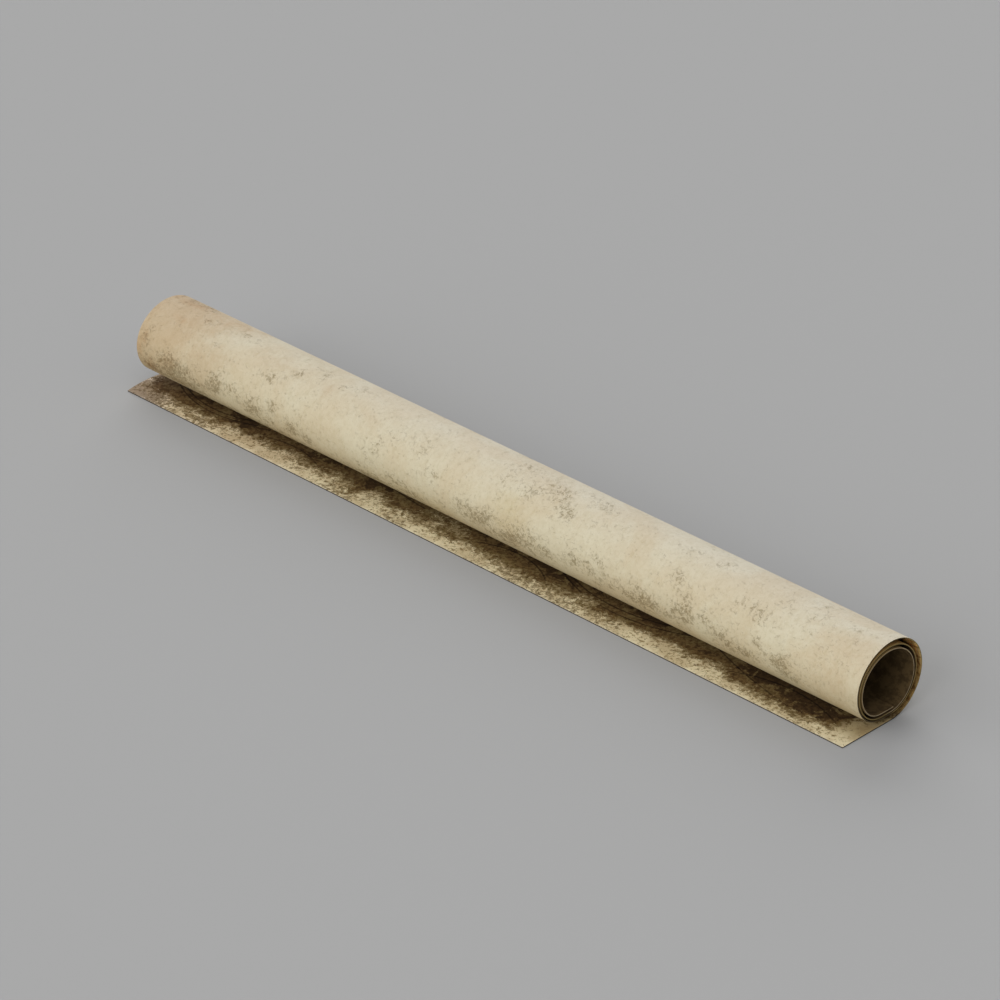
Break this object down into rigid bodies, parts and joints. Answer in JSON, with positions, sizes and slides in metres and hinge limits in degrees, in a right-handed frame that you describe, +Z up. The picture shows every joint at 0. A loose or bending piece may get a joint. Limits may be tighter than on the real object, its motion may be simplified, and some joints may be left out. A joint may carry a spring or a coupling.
{
  "type": "paper scroll",
  "caption": "Loosely rolled sheet of heavy aged paper, lying on its side with the loose edge open flat in front of the roll.",
  "frame": {"origin": "centre of the bounding box at its base, on the surface the scroll lies on", "axes": "+X along the roll, +Y from the loose edge towards the roll, +Z up"},
  "size_m": [0.61, 0.067, 0.0541],
  "materials": {
    "aged_paper": "matt aged paper"
  },
  "bodies": {
    "root": {"scroll_sheet": "aged_paper"}
  },
  "joints": []
}
